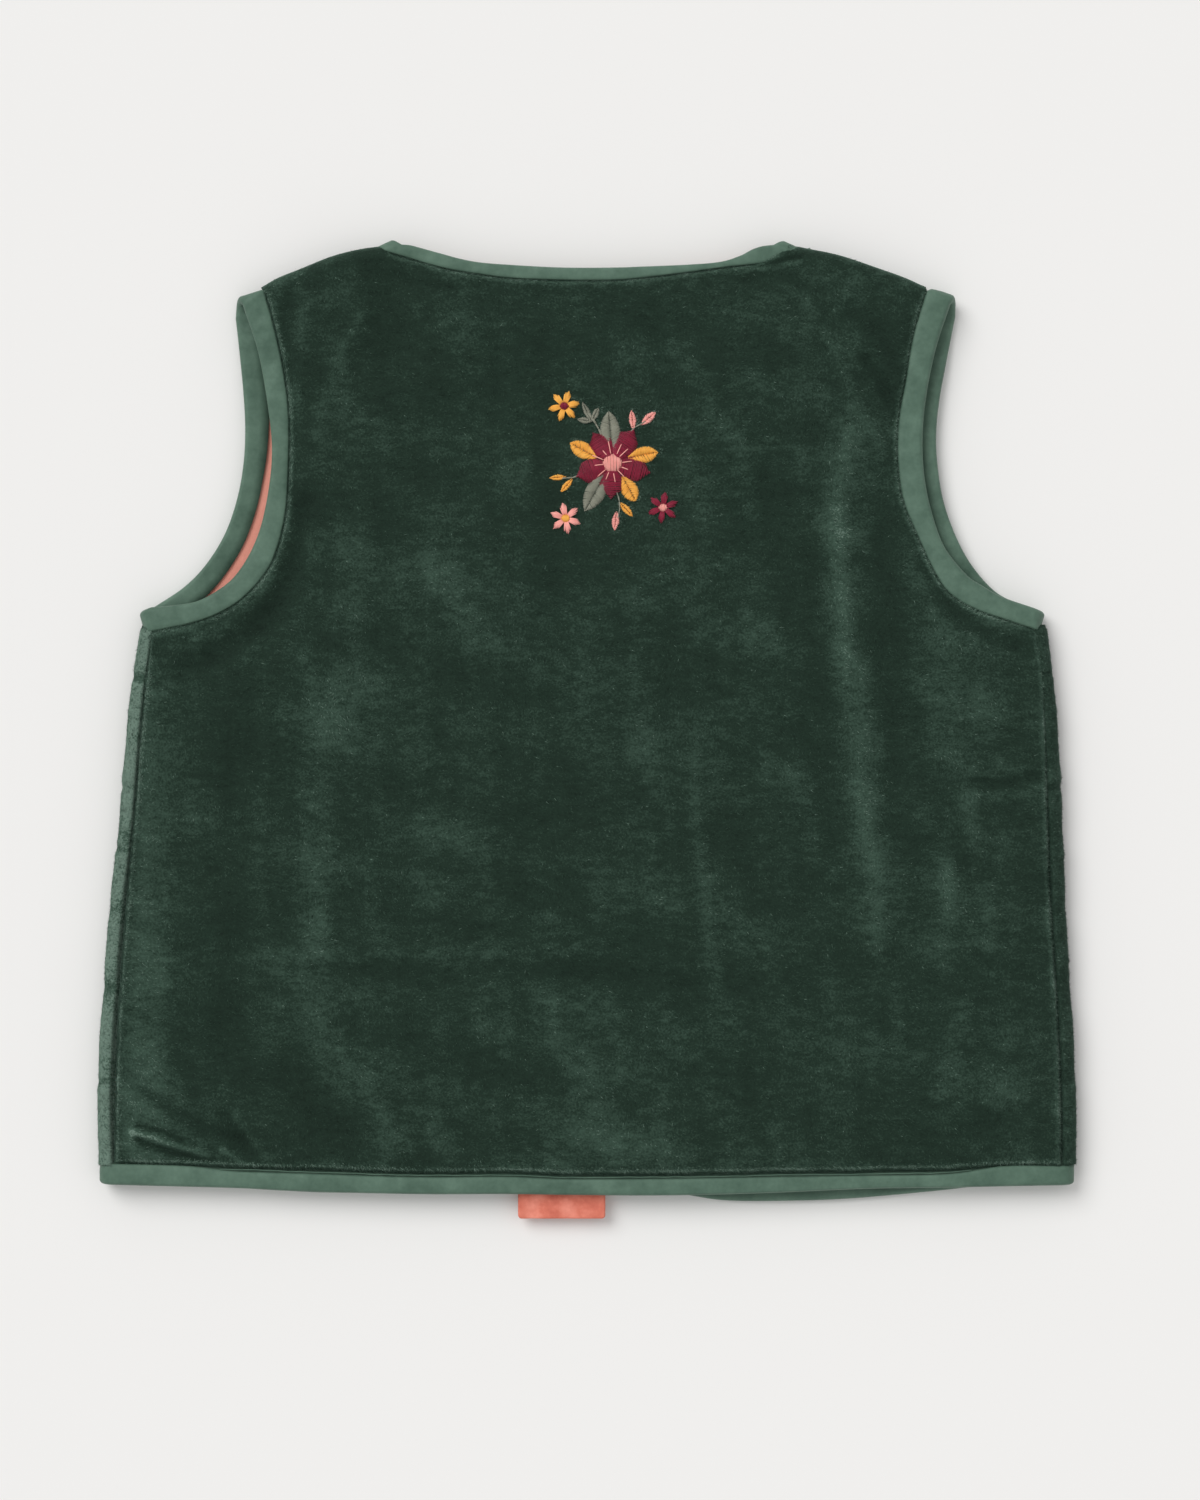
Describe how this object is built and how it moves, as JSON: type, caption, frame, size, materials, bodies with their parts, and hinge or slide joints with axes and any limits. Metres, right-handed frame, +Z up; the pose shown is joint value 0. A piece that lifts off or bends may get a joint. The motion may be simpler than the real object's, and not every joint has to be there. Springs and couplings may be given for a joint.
{
  "type": "embroidered waistcoat",
  "caption": "Child's sleeveless velvet waistcoat, laid flat with its back up: lined, bound with folded tape, flowers embroidered on the upper back, blank tab in the hem.",
  "frame": {"origin": "under the middle of the garment's box, on the surface that it lies on", "axes": "+X across the garment, towards the wearer's right side; +Y along it, from the hem to the neck; +Z up, from the fronts that it lies on to the back that shows"},
  "size_m": [0.3675, 0.3661, 0.0136],
  "materials": {
    "velvet": "dark green cotton velvet, short dense pile, lightly padded behind",
    "lining": "coral plain-weave cotton",
    "tape": "sage green sateen bias tape with a soft sheen",
    "tab": "coral cotton, blank"
  },
  "bodies": {
    "root": {"back_panel": "velvet", "front_left_panel": "velvet", "front_right_panel": "velvet", "back_lining": "lining", "front_left_lining": "lining", "front_right_lining": "lining", "neck_binding": "tape", "armhole_binding_left": "tape", "armhole_binding_right": "tape", "hem_binding": "tape", "front_binding_left": "tape", "front_binding_right": "tape", "hem_tab": "tab"}
  },
  "joints": []
}
